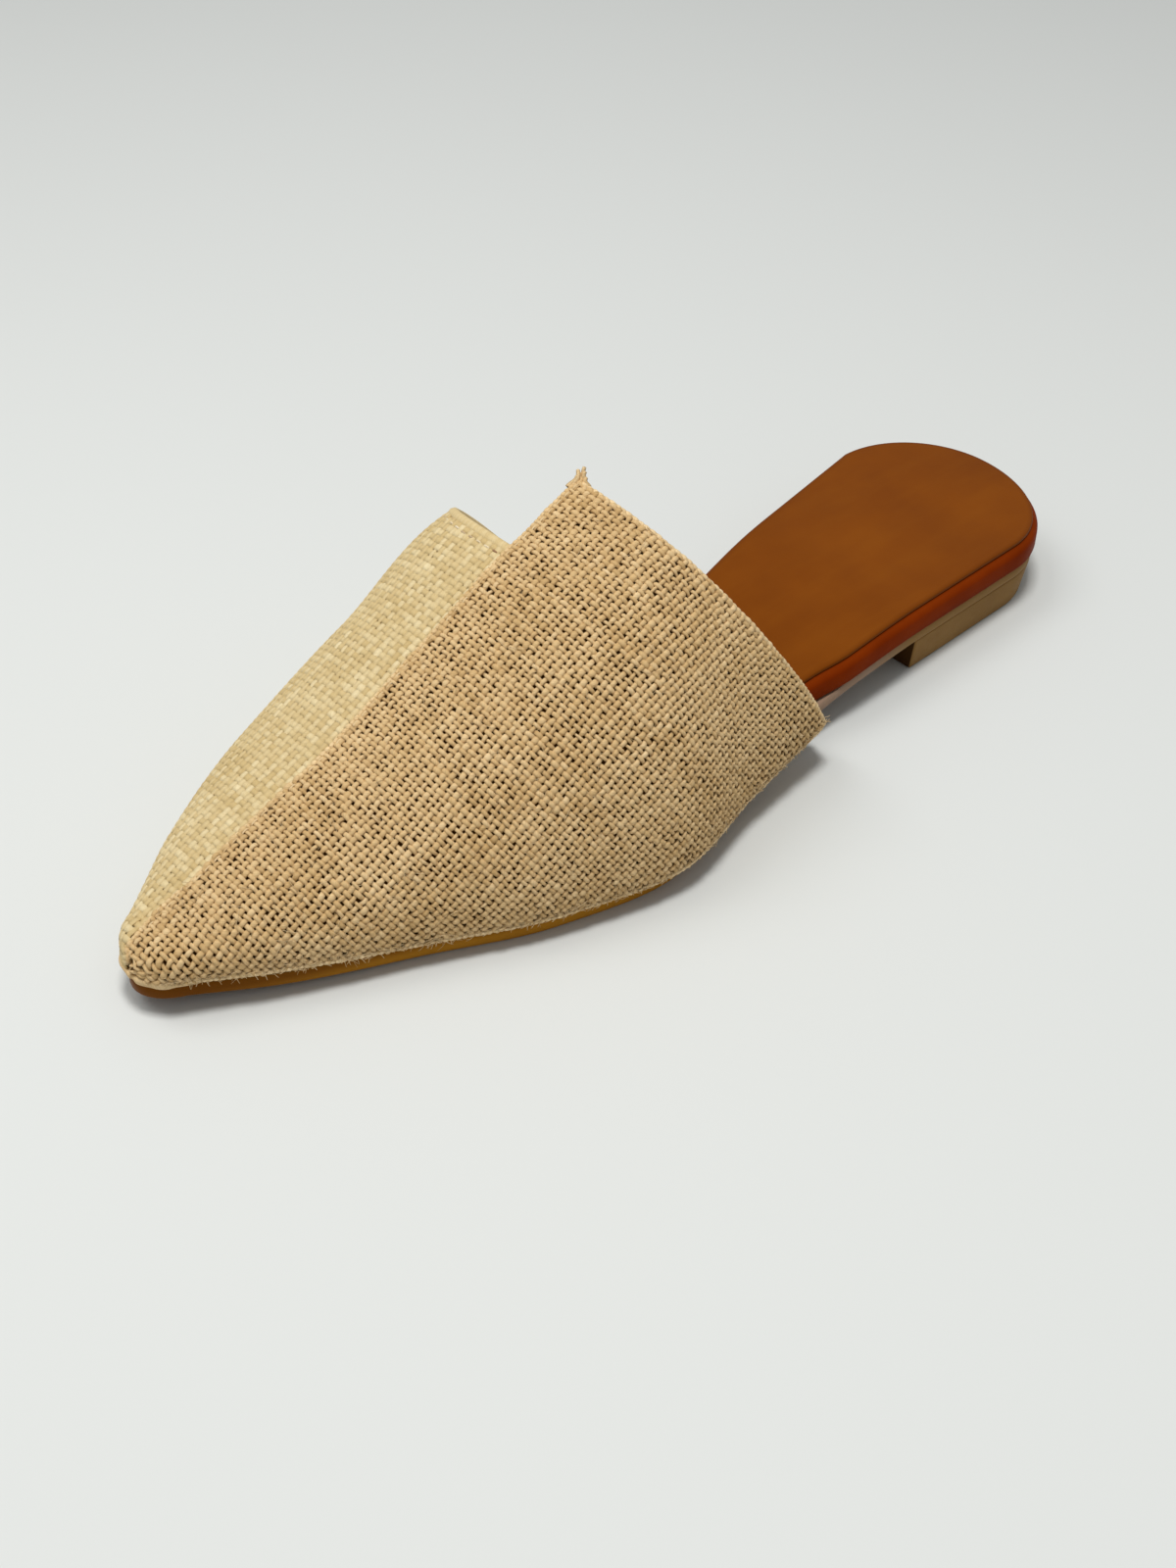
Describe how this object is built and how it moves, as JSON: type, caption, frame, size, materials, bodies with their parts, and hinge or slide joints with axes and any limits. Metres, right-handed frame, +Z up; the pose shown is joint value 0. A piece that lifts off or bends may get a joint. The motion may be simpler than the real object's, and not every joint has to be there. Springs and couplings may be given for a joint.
{
  "type": "flat mule shoe",
  "caption": "Pointed backless flat for the left foot: hollow cloth vamp with a coarse woven crossover panel, smooth insole on a wrapped footbed, rubber outsole and low heel.",
  "frame": {"origin": "on the floor, under the middle of the shoe's bounding box", "axes": "+X from heel to toe, +Y to the outer (lateral) side of the left foot, +Z up"},
  "size_m": [0.261, 0.0878, 0.0695],
  "materials": {
    "outsole": "glossy amber moulded rubber",
    "heel_block": "satin khaki moulded block",
    "footbed": "burnished red-brown edge, slightly glossy",
    "insole": "smooth brown sock with a soft sheen",
    "upper": "pale straw-coloured fine weave, matte with a slight thread lustre",
    "crossover_panel": "coarse plain jute-type weave, matte"
  },
  "bodies": {
    "root": {"outsole": "outsole", "heel_block": "heel_block", "footbed": "footbed", "insole": "insole", "upper": "upper", "crossover_panel": "crossover_panel"}
  },
  "joints": []
}
